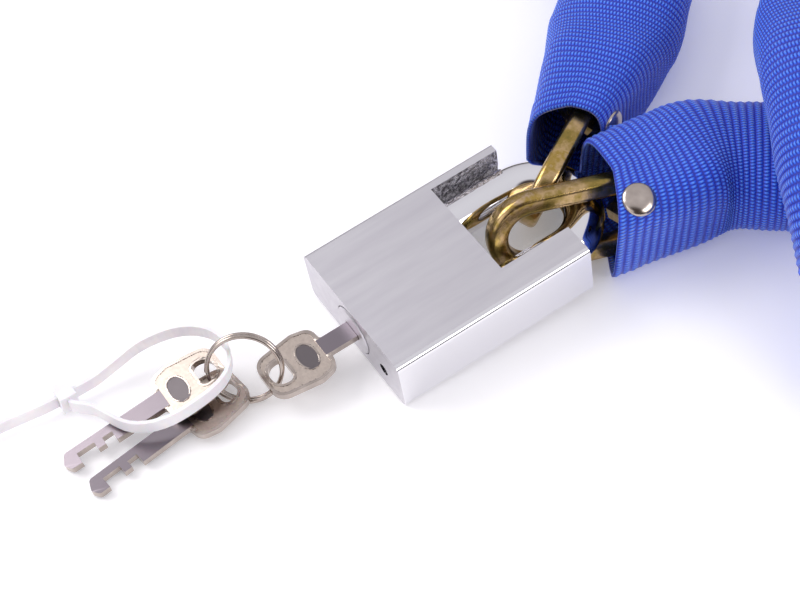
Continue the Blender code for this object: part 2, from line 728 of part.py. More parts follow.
def facet(rings, row, column):
    """The middle of one facet of the sleeve and its outward direction."""
    corners = [rings[row][column], rings[row][column + 1], rings[row + 1][column + 1], rings[row + 1][column]]
    middle = sum(corners, Vector()) / 4
    outward = (corners[2] - corners[0]).cross(corners[3] - corners[1]).normalized()
    centre = sum(rings[row] + rings[row + 1], Vector()) / (2 * len(rings[row]))
    if outward.dot(middle - centre) < 0:
        outward = -outward
    return middle, outward


def makeSleeve(rings):
    """The woven tube: a lofted skin with open ends, given its wall, and its two rivets."""
    shape = bmesh.new()
    rows = [[shape.verts.new(point) for point in ring] for ring in rings]
    sides = len(rings[0])
    for row, following in zip(rows, rows[1:]):
        for j in range(sides):
            k = (j + 1) % sides
            shape.faces.new((row[j], row[k], following[k], following[j]))
    bmesh.ops.recalc_face_normals(shape, faces=shape.faces)
    mesh = bpy.data.meshes.new("sleeve")
    shape.to_mesh(mesh)
    shape.free()
    sleeve = addPart("sleeve", mesh, nylon, False)
    skin = sleeve.modifiers.new("wall", "SOLIDIFY")
    skin.thickness = sleeveWall
    skin.offset = -1
    wall = sleeveWall + 2 * gap
    for name, row, column in (("a", 0, 7), ("b", len(rings) - 2, 2)):
        middle, outward = facet(rings, row, column)
        start = middle + outward * 4 * mm
        cutWith(sleeve, rodMesh(f"rivet_hole_{name}", 1.7 * mm, start, middle - outward * 4 * mm, 12), False)
        turn = outward.to_track_quat("X", "Z").to_matrix().to_4x4()
        frame = Matrix.Translation(middle) @ turn
        rivet = turned(f"rivet_{name}", [
            (1.9 * mm, 0), (1.7 * mm, 2.4 * mm), (1.1 * mm, 4.2 * mm), (0.15 * mm, 5.5 * mm),
            (0.15 * mm, 1.3 * mm), (-wall - 1.4 * mm, 1.3 * mm), (-wall - 1.4 * mm, 0)], nickel, 24, frame)
        smooth(rivet)
        washer = turned(f"rivet_washer_{name}", [
            (-wall, 1.6 * mm), (-wall, 2.7 * mm), (-wall - 0.8 * mm, 2.7 * mm),
            (-wall - 0.8 * mm, 1.6 * mm), (-wall, 1.6 * mm)], nickel, 16, frame)
        smooth(washer)
    smooth(sleeve, 60)


makeBody()
makeFixedPieces()
makePlug()
makeMechanism()
makeShackle()
makeKeys()
makeRing()
makeTie()
routePoints, hookPoints = closedRoute()
makeChain(hookPoints)
makeSleeve(sleeveRings(routePoints))
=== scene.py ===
import math

import bmesh
import bpy
from mathutils import Euler, Matrix, Quaternion, Vector, noise


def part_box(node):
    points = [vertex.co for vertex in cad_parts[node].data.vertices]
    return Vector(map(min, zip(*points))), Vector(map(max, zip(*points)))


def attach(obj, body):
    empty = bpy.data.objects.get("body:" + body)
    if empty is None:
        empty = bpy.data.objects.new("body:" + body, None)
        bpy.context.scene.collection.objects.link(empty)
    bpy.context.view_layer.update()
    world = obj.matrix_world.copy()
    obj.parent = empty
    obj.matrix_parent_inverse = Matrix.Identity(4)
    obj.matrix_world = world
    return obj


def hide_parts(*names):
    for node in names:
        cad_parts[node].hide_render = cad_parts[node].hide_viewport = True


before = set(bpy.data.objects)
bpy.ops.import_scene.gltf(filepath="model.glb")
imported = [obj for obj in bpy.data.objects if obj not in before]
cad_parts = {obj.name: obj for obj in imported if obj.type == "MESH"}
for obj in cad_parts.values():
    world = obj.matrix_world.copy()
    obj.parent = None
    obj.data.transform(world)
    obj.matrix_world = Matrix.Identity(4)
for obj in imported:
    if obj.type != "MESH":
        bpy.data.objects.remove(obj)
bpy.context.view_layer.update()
mm = 0.001

# the padlock lies on its back, tipped up by its chain links
lock = {
    "tilt": math.radians(4.0),
    "length": 71.2 * mm,
    "width": 55.0 * mm,
    "thickness": 21.0 * mm,
    "edgeRound": 2.2 * mm,
    "notchDepth": 25.3 * mm,
    "toeWall": 4.1 * mm,
    "heelWall": 11.6 * mm,
    "legOffset": 15.8 * mm,
}
keyEnd = -lock["length"] / 2
nose = lock["length"] / 2
notchFloor = nose - lock["notchDepth"]
midHeight = lock["thickness"] / 2
halfWidth = lock["width"] / 2
tableHeight = keyEnd * math.sin(lock["tilt"])
lockMatrix = Matrix.Rotation(-lock["tilt"], 4, "Y")
floorHeight = tableHeight - 0.6 * mm


def onTable(points):
    return [Vector((x * mm, y * mm, h * mm + tableHeight)) for x, y, h in points]


# ---- small helpers ----
def deselect():
    if bpy.context.object and bpy.context.object.mode != "OBJECT":
        bpy.ops.object.mode_set(mode="OBJECT")
    bpy.ops.object.select_all(action="DESELECT")


def onlySelect(piece):
    deselect()
    piece.select_set(True)
    bpy.context.view_layer.objects.active = piece


def applyPlace(piece):
    onlySelect(piece)
    bpy.ops.object.transform_apply(location=True, rotation=True, scale=True)


def placeBy(piece, matrix):
    piece.matrix_world = matrix @ piece.matrix_world
    applyPlace(piece)


def newPiece(name):
    piece = bpy.context.object
    piece.name = name
    piece.data.name = name
    return piece


def applyModifier(piece, kind, **settings):
    onlySelect(piece)
    modifier = piece.modifiers.new(kind.lower(), kind)
    for key, value in settings.items():
        setattr(modifier, key, value)
    bpy.ops.object.modifier_apply(modifier=modifier.name)


def cutOut(piece, tool, operation="DIFFERENCE"):
    applyPlace(tool)
    applyModifier(piece, "BOOLEAN", object=tool, operation=operation, solver="EXACT")
    bpy.data.objects.remove(tool, do_unlink=True)


def rodTool(radius, start, end, vertices=48):
    start, end = Vector(start), Vector(end)
    along = end - start
    deselect()
    bpy.ops.mesh.primitive_cylinder_add(vertices=vertices, radius=radius, depth=along.length)
    rod = bpy.context.object
    rod.matrix_world = Matrix.Translation((start + end) / 2) @ along.to_track_quat("Z", "Y").to_matrix().to_4x4()
    return rod


def boxTool(low, high):
    low, high = Vector(low), Vector(high)
    deselect()
    bpy.ops.mesh.primitive_cube_add(size=1, location=(low + high) / 2)
    box = bpy.context.object
    box.scale = high - low
    return box


def smoothShade(piece, angle=30):
    onlySelect(piece)
    bpy.ops.object.shade_smooth_by_angle(angle=math.radians(angle))


def fixNormals(piece):
    onlySelect(piece)
    bpy.ops.object.mode_set(mode="EDIT")
    bpy.ops.mesh.select_all(action="SELECT")
    bpy.ops.mesh.remove_doubles(threshold=0.000002)
    bpy.ops.mesh.normals_make_consistent(inside=False)
    bpy.ops.object.mode_set(mode="OBJECT")


def finishPiece(piece, body, materials, nodes=(), angle=30, flat=False):
    smoothShade(piece, angle)
    if flat:  # large flats keep straight reflections beside their small bevels
        applyModifier(piece, "WEIGHTED_NORMAL", keep_sharp=True, weight=100)
    piece.data.materials.clear()
    for material in materials:
        piece.data.materials.append(material)
    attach(piece, body)
    if nodes:
        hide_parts(*nodes)
    print("made", piece.name, len(piece.data.polygons), "faces")


def linear(hexColour):
    shades = [int(hexColour[i:i + 2], 16) / 255 for i in (1, 3, 5)]
    return (*[s / 12.92 if s <= 0.04045 else ((s + 0.055) / 1.055) ** 2.4 for s in shades], 1)


# ---- camera and light ----
camera = {
    "place": Vector((-0.1952, -0.3377, 0.5041)),
    "target": Vector((-0.0190, 0.0, 0.01)),
    "roll": math.radians(-6.67),
    "lens": 90,
}
deselect()
bpy.ops.object.camera_add(location=camera["place"])
view = newPiece("camera")
view.rotation_mode = "QUATERNION"
aim = (camera["target"] - camera["place"]).to_track_quat("-Z", "Y")
view.rotation_quaternion = aim @ Quaternion((0, 0, 1), camera["roll"])
view.data.lens = camera["lens"]
view.data.sensor_width = 36
view.data.clip_start = 0.01
bpy.context.scene.camera = view

lights = {  # place, target, width, height, watts
    "over": ((-0.55, 0.60, 0.75), (0.02, 0.02, 0.0), 0.8, 0.6, 6),
    "left": ((-0.85, -0.45, 0.40), (0.0, 0.0, 0.0), 0.8, 0.7, 1.6),
    "front": ((0.40, -0.85, 0.55), (0.05, 0.0, 0.0), 0.6, 0.35, 3),
}
for name, (place, target, width, height, watts) in lights.items():
    bpy.ops.object.light_add(type="AREA", location=place)
    lamp = newPiece(name)
    lamp.rotation_mode = "QUATERNION"
    lamp.rotation_quaternion = (Vector(target) - Vector(place)).to_track_quat("-Z", "Y")
    lamp.data.shape = "RECTANGLE"
    lamp.data.size = width
    lamp.data.size_y = height
    lamp.data.energy = watts
    lamp.data.color = linear("#fffdfb")[:3]


def addNode(tree, kind, links=None, **settings):
    node = tree.nodes.new(kind)
    for key, value in settings.items():
        setattr(node, key, value)
    for key, value in (links or {}).items():
        if isinstance(value, bpy.types.NodeSocket):
            tree.links.new(value, node.inputs[key])
        else:
            node.inputs[key].default_value = value
    return node


def ramp(tree, factor, stops, interpolation="LINEAR"):
    node = addNode(tree, "ShaderNodeValToRGB", {0: factor})
    node.color_ramp.interpolation = interpolation
    while len(node.color_ramp.elements) < len(stops):
        node.color_ramp.elements.new(0.5)
    for element, (place, colour) in zip(node.color_ramp.elements, stops):
        element.position = place
        element.color = linear(colour)
    return node.outputs[0]


world = bpy.data.worlds.new("studio")
bpy.context.scene.world = world
world.use_nodes = True
sky = world.node_tree
direction = addNode(sky, "ShaderNodeTexCoord").outputs["Generated"]
height = addNode(sky, "ShaderNodeSeparateXYZ", {0: direction}).outputs["Z"]
lift = addNode(sky, "ShaderNodeMapRange", {0: height, 1: -1.0, 2: 1.0}).outputs[0]
# dark room at the horizon and a white tent above, so that polished metal shows bands
tent = ramp(sky, lift, [(0.0, "#f4f3f6"), (0.485, "#e9e8ec"), (0.50, "#151315"), (0.545, "#3a3637"),
                        (0.60, "#a09c9e"), (0.70, "#dbd9de"), (1.0, "#e8e7eb")])
# the unlit side of the room, low in front, darkens what faces it
facing = addNode(sky, "ShaderNodeVectorMath", {0: direction, 1: (-0.42, -0.80, 0.43)}, operation="DOT_PRODUCT")
patch = addNode(sky, "ShaderNodeMapRange", {0: facing.outputs["Value"], 1: 0.80, 2: 0.90}).outputs[0]
room = addNode(sky, "ShaderNodeMix", {"Factor": patch, "A": tent, "B": linear("#4d4340")}, data_type="RGBA")
sky.links.new(room.outputs["Result"], sky.nodes["Background"].inputs[0])
sky.nodes["Background"].inputs[1].default_value = 1.0
bpy.context.scene.view_settings.view_transform = "Standard"


# ---- materials ----
def newMaterial(name, colour, metallic, roughness):
    material = bpy.data.materials.new(name)
    material.use_nodes = True
    tree = material.node_tree
    shader = tree.nodes["Principled BSDF"]
    shader.inputs["Base Color"].default_value = linear(colour)
    shader.inputs["Metallic"].default_value = metallic
    shader.inputs["Roughness"].default_value = roughness
    return material, tree, shader


def place(tree, scale=(1, 1, 1), turn=(0, 0, 0)):
    coords = addNode(tree, "ShaderNodeTexCoord").outputs["Object"]
    return addNode(tree, "ShaderNodeMapping", {0: coords, "Scale": scale, "Rotation": turn}).outputs[0]


def grain(tree, vector, scale, detail=2, roughness=0.5):
    return addNode(tree, "ShaderNodeTexNoise", {"Vector": vector, "Scale": scale, "Detail": detail,
                                                "Roughness": roughness}).outputs["Fac"]


def bump(tree, shader, height, distance, strength=1.0):
    node = addNode(tree, "ShaderNodeBump", {"Height": height, "Distance": distance, "Strength": strength})
    tree.links.new(node.outputs[0], shader.inputs["Normal"])


def spread(tree, factor, low, high):
    return addNode(tree, "ShaderNodeMapRange", {0: factor, 3: low, 4: high}).outputs[0]


# hard chrome over polished steel: near mirror, with faint haze
chrome, tree, shader = newMaterial("polished_chrome_plate", "#e6e5e9", 1, 0.05)
haze = grain(tree, place(tree), 160, 3)
tree.links.new(spread(tree, haze, 0.03, 0.09), shader.inputs["Roughness"])
bump(tree, shader, grain(tree, place(tree), 60, 1), 0.05 * mm, 0.25)

# chrome over a linished face: the belt's fine scratches run along the block
satinFace, tree, shader = newMaterial("linished_chrome_face", "#cfcdd3", 1, 0.36)
scratches = grain(tree, place(tree, (1, 30, 30)), 90, 4, 0.6)
tree.links.new(spread(tree, scratches, 0.3, 0.42), shader.inputs["Roughness"])
tint = grain(tree, place(tree, (1, 9, 9)), 30, 3)
tree.links.new(ramp(tree, tint, [(0.25, "#cac7ce"), (0.75, "#d6d4d9")]), shader.inputs["Base Color"])
bump(tree, shader, scratches, 0.01 * mm, 0.2)

# chrome over a milled channel: the cutter's chatter glitters across it
milled, tree, shader = newMaterial("milled_chrome_channel", "#a5a1a8", 1, 0.2)
chatter = grain(tree, place(tree, (1, 0.7, 0.7)), 800, 4, 0.7)
tree.links.new(ramp(tree, chatter, [(0.42, "#5a565c"), (0.56, "#e4e2e6")]), shader.inputs["Base Color"])
bump(tree, shader, chatter, 0.6 * mm, 1.0)

# yellow passivated zinc on steel: gold with pink, olive and green drifts
zinc, tree, shader = newMaterial("yellow_zinc_plate", "#a8894d", 1, 0.24)
drift = grain(tree, place(tree, (1, 1, 1)), 95, 4, 0.6)
tree.links.new(ramp(tree, drift, [(0.28, "#6f6a38"), (0.42, "#9b8448"), (0.52, "#c4a77c"), (0.6, "#a98d45"),
                                  (0.72, "#cdb39c")]), shader.inputs["Base Color"])
speck = grain(tree, place(tree), 1500, 3, 0.7)
tree.links.new(spread(tree, speck, 0.14, 0.34), shader.inputs["Roughness"])
bump(tree, shader, speck, 0.06 * mm, 0.5)

# nickel on stamped brass: warm, softly bright
nickel, tree, shader = newMaterial("nickel_plate", "#b9aea6", 1, 0.2)
blotch = grain(tree, place(tree), 220, 3)
tree.links.new(ramp(tree, blotch, [(0.3, "#ada29b"), (0.7, "#c6bbb3")]), shader.inputs["Base Color"])
tree.links.new(spread(tree, blotch, 0.13, 0.27), shader.inputs["Roughness"])

# the knurled field of a key's bow: the same nickel, worn grey in its hollows
knurled, tree, shader = newMaterial("knurled_nickel", "#c3b6ac", 1, 0.3)
fine = grain(tree, place(tree), 900, 2)
tree.links.new(ramp(tree, fine, [(0.3, "#bbaea5"), (0.7, "#cabdb3")]), shader.inputs["Base Color"])
bump(tree, shader, fine, 0.02 * mm, 0.2)

# the emblem's sunk field: nickel left dull and grey by the die
dulled, tree, shader = newMaterial("dulled_nickel", "#6f696c", 1, 0.38)
tree.links.new(spread(tree, grain(tree, place(tree), 500, 3), 0.3, 0.45), shader.inputs["Roughness"])

# the milled flat of a blade: plain grey, lightly lined
blade, tree, shader = newMaterial("milled_nickel_blade", "#857d84", 1, 0.3)
lines = grain(tree, place(tree, (1, 12, 12)), 150, 4)
tree.links.new(spread(tree, lines, 0.26, 0.36), shader.inputs["Roughness"])
bump(tree, shader, lines, 0.01 * mm, 0.2)

brass, tree, shader = newMaterial("machined_brass", "#c9a45c", 1, 0.28)  # turned: soft rings of gloss
tree.links.new(spread(tree, grain(tree, place(tree, (12, 1, 1)), 200, 3), 0.2, 0.36), shader.inputs["Roughness"])

steel, tree, shader = newMaterial("hardened_steel", "#8b8a8c", 1, 0.3)  # ground, with a faint oil film
tree.links.new(spread(tree, grain(tree, place(tree), 400, 3), 0.22, 0.4), shader.inputs["Roughness"])

screwHoleShade, tree, shader = newMaterial("steel_painted_hole_shade", "#2b2a2c", 1, 0.42)  # near-black base colour: painted shade of the screw's hole, soft gloss
tree.links.new(spread(tree, grain(tree, place(tree), 500, 3), 0.34, 0.5), shader.inputs["Roughness"])

# natural polyamide: milky, slightly waxy
whiteNylon, tree, shader = newMaterial("moulded_white_nylon", "#f1eff4", 0, 0.38)
shader.inputs["IOR"].default_value = 1.53
milk = grain(tree, place(tree), 120, 2)
tree.links.new(ramp(tree, milk, [(0.3, "#eceaf1"), (0.7, "#f8f7fa")]), shader.inputs["Base Color"])
shader.inputs["Subsurface Weight"].default_value = 0.25
shader.inputs["Subsurface Scale"].default_value = 0.002

# woven polyamide tape: ribs across the tube, each rib a row of bead-like floats
weave = {"rib": 2.3 * mm, "bead": 1.15 * mm}
nylon, tree, shader = newMaterial("woven_blue_nylon", "#2b54dd", 0, 0.5)
shader.inputs["IOR"].default_value = 1.53
shader.inputs["Sheen Weight"].default_value = 0.25
shader.inputs["Sheen Roughness"].default_value = 0.4
run = addNode(tree, "ShaderNodeUVMap", uv_map="weave").outputs[0]
split = addNode(tree, "ShaderNodeSeparateXYZ", {0: run})
ribPhase = addNode(tree, "ShaderNodeMath", {0: split.outputs[0], 1: 2 * math.pi}, operation="MULTIPLY").outputs[0]
ribWave = addNode(tree, "ShaderNodeMath", {0: ribPhase}, operation="COSINE").outputs[0]
ribRow = addNode(tree, "ShaderNodeMath", {0: split.outputs[0], 1: 0.5}, operation="ADD").outputs[0]
ribRow = addNode(tree, "ShaderNodeMath", {0: ribRow}, operation="FLOOR").outputs[0]
beadShift = addNode(tree, "ShaderNodeMath", {0: ribRow, 1: 0.5, 2: split.outputs[1]}, operation="MULTIPLY_ADD").outputs[0]
beadPhase = addNode(tree, "ShaderNodeMath", {0: beadShift, 1: 2 * math.pi}, operation="MULTIPLY").outputs[0]
beadWave = addNode(tree, "ShaderNodeMath", {0: beadPhase}, operation="COSINE").outputs[0]
ribLift = addNode(tree, "ShaderNodeMapRange", {0: ribWave, 1: -1.0, 2: 1.0}).outputs[0]
beadLift = addNode(tree, "ShaderNodeMapRange", {0: beadWave, 1: -1.0, 2: 1.0}).outputs[0]
beadLift = addNode(tree, "ShaderNodeMath", {0: beadLift, 1: 0.6}, operation="POWER").outputs[0]
ribLift = addNode(tree, "ShaderNodeMath", {0: ribLift, 1: 0.7}, operation="POWER").outputs[0]
bead = addNode(tree, "ShaderNodeMath", {0: ribLift, 1: beadLift}, operation="MULTIPLY").outputs[0]
# the colour ramp paints shade into the gaps between the beads and a highlight onto their crests, over the tape's
# own blue
tree.links.new(ramp(tree, bead, [(0.05, "#0c25a6"), (0.35, "#1d52ec"), (0.7, "#3a7aff"), (1.0, "#68a0ff")]),
               shader.inputs["Base Color"])
bump(tree, shader, bead, 0.5 * mm, 1.0)

# pale tabletop: matt laminate, almost white
tabletop, tree, shader = newMaterial("white_laminate", "#f7f6f9", 0, 0.55)
tree.links.new(ramp(tree, grain(tree, place(tree), 6, 2), [(0.3, "#f4f3f7"), (0.7, "#faf9fb")]),
               shader.inputs["Base Color"])
shader.inputs["Emission Color"].default_value = linear("#ffffff")
shader.inputs["Emission Strength"].default_value = 0.2

print("camera, light and materials ready")

# ---- the sleeve ----
sleeve = {
    "halfWidth": 22.5 * mm,
    "halfHeight": 14.4 * mm,
    "mouthHalfHeight": 17.4 * mm,
    "mouthHalfWidthA": 11.5 * mm,
    "mouthHalfWidthB": 19.0 * mm,
    "mouthLength": 50.0 * mm,
    "mouthTaper": 24.0 * mm,
    "mouthLean": 8.0 * mm,
    "wall": 1.0 * mm,
    "length": 0.943,
    "diameter": 0.045,
    "ribHeight": 0.22 * mm,
    "fold": 0.75 * mm,
    "hem": 7.0 * mm,
    "columns": 64,
}
chainRoute = onTable([
    (71.5, 27.1, 16.6), (84, 37, 16.0), (97, 47.5, 15.0), (112, 60, 14.7), (128, 77, 14.7),
    (140, 100, 14.7), (151, 126, 14.7), (171, 147, 14.7), (198, 155, 14.7), (224, 147, 14.7),
    (240, 126, 14.7), (241, 99, 14.7), (227, 74, 14.7), (205, 52, 14.7), (182, 31, 16.0),
    (161, 11, 24.5), (143, -6, 36.0), (129, -25, 44.5), (117, -45, 45.0), (106, -65, 39.5),
    (97, -87, 27.0), (93, -110, 16.5), (96, -134, 14.7), (110, -155, 14.7), (133, -168, 14.7),
    (160, -171, 14.7), (187, -163, 14.7), (208, -145, 14.7), (218, -120, 14.7), (214, -94, 14.7),
    (198, -73, 14.7), (174, -61, 14.7), (148, -54, 14.7), (126, -42, 14.7), (108, -27, 14.7),
    (92, -16, 15.0), (76, -13, 15.8), (59.6, -14.9, 15.6)])
loopOut = Vector((0.75, 0.66, 0)) * -7.349 * mm  # how far the far loop is drawn in
mouthA, mouthB = onTable([(59.5, 19.0, 17.3), (54.0, -10.2, 17.3)])


def smoothRoute(points, step):
    full = [points[0] * 2 - points[1]] + list(points) + [points[-1] * 2 - points[-2]]
    fine = []
    for a, b, c, d in zip(full, full[1:], full[2:], full[3:]):
        for i in range(24):
            t = i / 24
            fine.append(0.5 * ((2 * b) + (c - a) * t + (2 * a - 5 * b + 4 * c - d) * t * t
                               + (3 * b - a - 3 * c + d) * t ** 3))
    fine.append(points[-1])
    lengths = [0.0]
    for a, b in zip(fine, fine[1:]):
        lengths.append(lengths[-1] + (b - a).length)
    count = round(lengths[-1] / step)
    even = []
    here = 0
    for i in range(count + 1):
        target = lengths[-1] * i / count
        while here < len(fine) - 2 and lengths[here + 1] < target:
            here += 1
        share = (target - lengths[here]) / (lengths[here + 1] - lengths[here])
        even.append(fine[here].lerp(fine[here + 1], share))
    return even


def sleeveRings(step, sides):
    points = [p + loopOut if i in range(5, 14) else p for i, p in enumerate(chainRoute)]
    line = smoothRoute([mouthA] + points[1:-1] + [mouthB], step)
    count = len(line)
    rings, centres = [], []
    for i, centre in enumerate(line):
        reach = max(1, round(2 * mm / step))  # a short span steadies the direction of fine rings
        along = (line[min(i + reach, count - 1)] - line[max(i - reach, 0)]).normalized()
        left = Vector((0, 0, 1)).cross(along).normalized()
        up = along.cross(left)
        toMouth = min(i, count - 1 - i) * step
        flare = min(1.0, max(0.0, (sleeve["mouthLength"] - toMouth) / sleeve["mouthTaper"]))
        flare = flare * flare * (3 - 2 * flare)
        narrow = max(0.0, 1 - toMouth / sleeve["mouthLength"])
        mouthHalf = sleeve["mouthHalfWidthA"] if i < count / 2 else sleeve["mouthHalfWidthB"]
        wide = sleeve["halfWidth"] + (mouthHalf - sleeve["halfWidth"]) * narrow
        high = sleeve["halfHeight"] + (sleeve["mouthHalfHeight"] - sleeve["halfHeight"]) * flare
        if flare > 0:
            centre = Vector((centre.x, centre.y, tableHeight + high - 0.6 * mm * flare)).lerp(
                centre, 0 if flare > 0.3 else 1 - flare / 0.3)
        boxy = 0.8 - 0.3 * flare
        outOfMouth = -along if i < count / 2 else along
        ring = []
        for j in range(sides):
            angle = 2 * math.pi * j / sides
            across = math.copysign(abs(math.cos(angle)) ** boxy, math.cos(angle))
            rise = math.copysign(abs(math.sin(angle)) ** boxy, math.sin(angle))
            lean = outOfMouth * (sleeve["mouthLean"] * narrow ** 2 * max(0.0, across))
            ring.append(centre + left * (across * wide) + up * (rise * high) + lean)
        rings.append(ring)
        centres.append(centre)
    return rings, centres


def evenRing(ring, count):
    lengths = [0.0]
    closed = ring + ring[:1]
    for a, b in zip(closed, closed[1:]):
        lengths.append(lengths[-1] + (b - a).length)
    even = []
    here = 0
    for i in range(count):
        target = lengths[-1] * i / count
        while here < len(closed) - 2 and lengths[here + 1] < target:
            here += 1
        share = (target - lengths[here]) / (lengths[here + 1] - lengths[here])
        even.append(closed[here].lerp(closed[here + 1], share))
    return even, lengths[-1]


def foldAt(point, across, along):
    # slow creases that run across the tube, where it bends and where it lies slack
    slow = noise.noise(Vector((point.x * 60, point.y * 60, point.z * 60)))
    crease = noise.noise(Vector((along / (16 * mm), across * 2.2, 3.1)))
    return 0.55 * slow + 0.75 * crease


rivets = {"rivet_a": (0, 7), "rivet_b": (-2, 2)}
coarseStep = 12 * mm
coarse, _ = sleeveRings(coarseStep, 16)


def rivetFrame(row, column):
    row = row % len(coarse)
    corners = [coarse[row][column], coarse[row][column + 1], coarse[row + 1][column + 1], coarse[row + 1][column]]
    middle = sum(corners, Vector()) / 4
    outward = (corners[2] - corners[0]).cross(corners[3] - corners[1]).normalized()
    centre = sum(coarse[row] + coarse[row + 1], Vector()) / (2 * len(coarse[row]))
    if outward.dot(middle - centre) < 0:
        outward = -outward
    return middle, outward


rivetFrames = {name: rivetFrame(*spot) for name, spot in rivets.items()}
for name, (middle, outward) in rivetFrames.items():
    low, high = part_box(name)
    print(name, "is", round(((low + high) / 2 - middle).length / mm, 2), "mm from its place")


def makeSleeve():
    ribStep = weave["rib"] / 2
    rings, centres = sleeveRings(ribStep, 96)
    count = len(rings)
    columns = sleeve["columns"]
    mesh = bpy.data.meshes.new("sleeve_cloth")
    shape = bmesh.new()
    uv = shape.loops.layers.uv.new("weave")
    outer, girth = [], []
    for i, ring in enumerate(rings):
        points, around = evenRing(ring, columns)
        girth.append(around)
        toMouth = min(i, count - 1 - i) * ribStep
        row = []
        for j, point in enumerate(points):
            outward = (point - centres[i]).normalized()
            ribs = sleeve["ribHeight"] * (1 if i % 2 == 0 else -1)
            quiet = min(1.0, toMouth / (12 * mm))
            lift = ribs + sleeve["fold"] * quiet * foldAt(point, math.sin(2 * math.pi * j / columns), i * ribStep)
            if toMouth < sleeve["hem"]:
                lift += 0.35 * mm
            place = point + outward * lift
            for middle, facing in rivetFrames.values():
                away = place - middle
                proud = away.dot(facing)
                near = (away - facing * proud).length
                if abs(proud) < 4 * mm and near < 11 * mm:  # the rivet pulls the cloth in round its head
                    pull = 1 - max(0.0, near - 5 * mm) / (6 * mm)
                    place -= facing * (proud - 0.05 * mm) * pull * pull
            place.z = max(place.z, floorHeight + 0.03 * mm)
            row.append(shape.verts.new(place))
        outer.append(row)
    inner = []
    innerRows = [0, 2, 4, 8] + list(range(12, count - 10, 8)) + [count - 9, count - 5, count - 3, count - 1]
    for i in innerRows:
        points, _ = evenRing(rings[i], columns)
        row = []
        for point in points:
            inward = (centres[i] - point).normalized()
            place = point + inward * (sleeve["wall"] + (0.1 * mm if i else 0))
            place.z = max(place.z, floorHeight + 0.6 * mm)
            row.append(shape.verts.new(place))
        inner.append(row)
    beads = round(sum(girth) / len(girth) / weave["bead"])

    def skin(rows, places, flip):
        for (low, lowPlace), (high, highPlace) in zip(zip(rows, places), list(zip(rows, places))[1:]):
            for j in range(columns):
                k = (j + 1) % columns
                corners = [low[j], low[k], high[k], high[j]]
                spots = [(lowPlace, j), (lowPlace, j + 1), (highPlace, j + 1), (highPlace, j)]
                if flip:
                    corners.reverse()
                    spots.reverse()
                face = shape.faces.new(corners)
                for loop, (along, column) in zip(face.loops, spots):
                    loop[uv].uv = (along / 2, column / columns * beads)
    skin(outer, range(count), False)
    skin(inner, innerRows, True)
    skin([outer[0], inner[0]], [0, 1], True)
    skin([outer[-1], inner[-1]], [count - 1, count], False)
    bmesh.ops.recalc_face_normals(shape, faces=shape.faces)
    shape.to_mesh(mesh)
    shape.free()
    piece = bpy.data.objects.new("sleeve_cloth", mesh)
    bpy.context.scene.collection.objects.link(piece)
    smoothShade(piece, 180)
    mesh.materials.append(nylon)
    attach(piece, "shackle_and_chain")
    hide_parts("sleeve")
    print("made", piece.name, len(mesh.polygons), "faces")
    return piece, centres


sleevePiece, sleeveLine = makeSleeve()


def makeRivet(name):
    middle, outward = rivetFrames[name]
    head = {"radius": 5.5 * mm, "height": 1.95 * mm, "shank": 1.3 * mm}
    deselect()
    bpy.ops.mesh.primitive_uv_sphere_add(segments=48, ring_count=24, radius=head["radius"])
    piece = newPiece(name + "_dome")
    bpy.ops.object.mode_set(mode="EDIT")
    bpy.ops.mesh.select_all(action="SELECT")
    bpy.ops.mesh.bisect(plane_co=(0, 0, 0.0), plane_no=(0, 0, 1), clear_inner=True, use_fill=True)
    bpy.ops.object.mode_set(mode="OBJECT")
    piece.scale = (1, 1, head["height"] / head["radius"])
    applyPlace(piece)
    bpy.ops.object.mode_set(mode="EDIT")
    bpy.ops.mesh.select_all(action="DESELECT")
    bpy.ops.mesh.select_mode(type="FACE")
    bpy.ops.object.mode_set(mode="OBJECT")
    for face in piece.data.polygons:
        face.select = face.normal.z < -0.9
    bpy.ops.object.mode_set(mode="EDIT")
    bpy.ops.mesh.inset(thickness=head["radius"] - head["shank"])
    bpy.ops.mesh.extrude_region_move(TRANSFORM_OT_translate={"value": (0, 0, -(sleeve["wall"] + 2.0 * mm))})
    bpy.ops.object.mode_set(mode="OBJECT")
    turn = outward.to_track_quat("Z", "Y").to_matrix().to_4x4()
    placeBy(piece, Matrix.Translation(middle + outward * 0.15 * mm) @ turn)
    fixNormals(piece)
    finishPiece(piece, "shackle_and_chain", [nickel], [name], 40)
    return piece


rivetPieces = [makeRivet(name) for name in rivets]
links = [n for n in sorted(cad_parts) if n.startswith("chain_link_")]


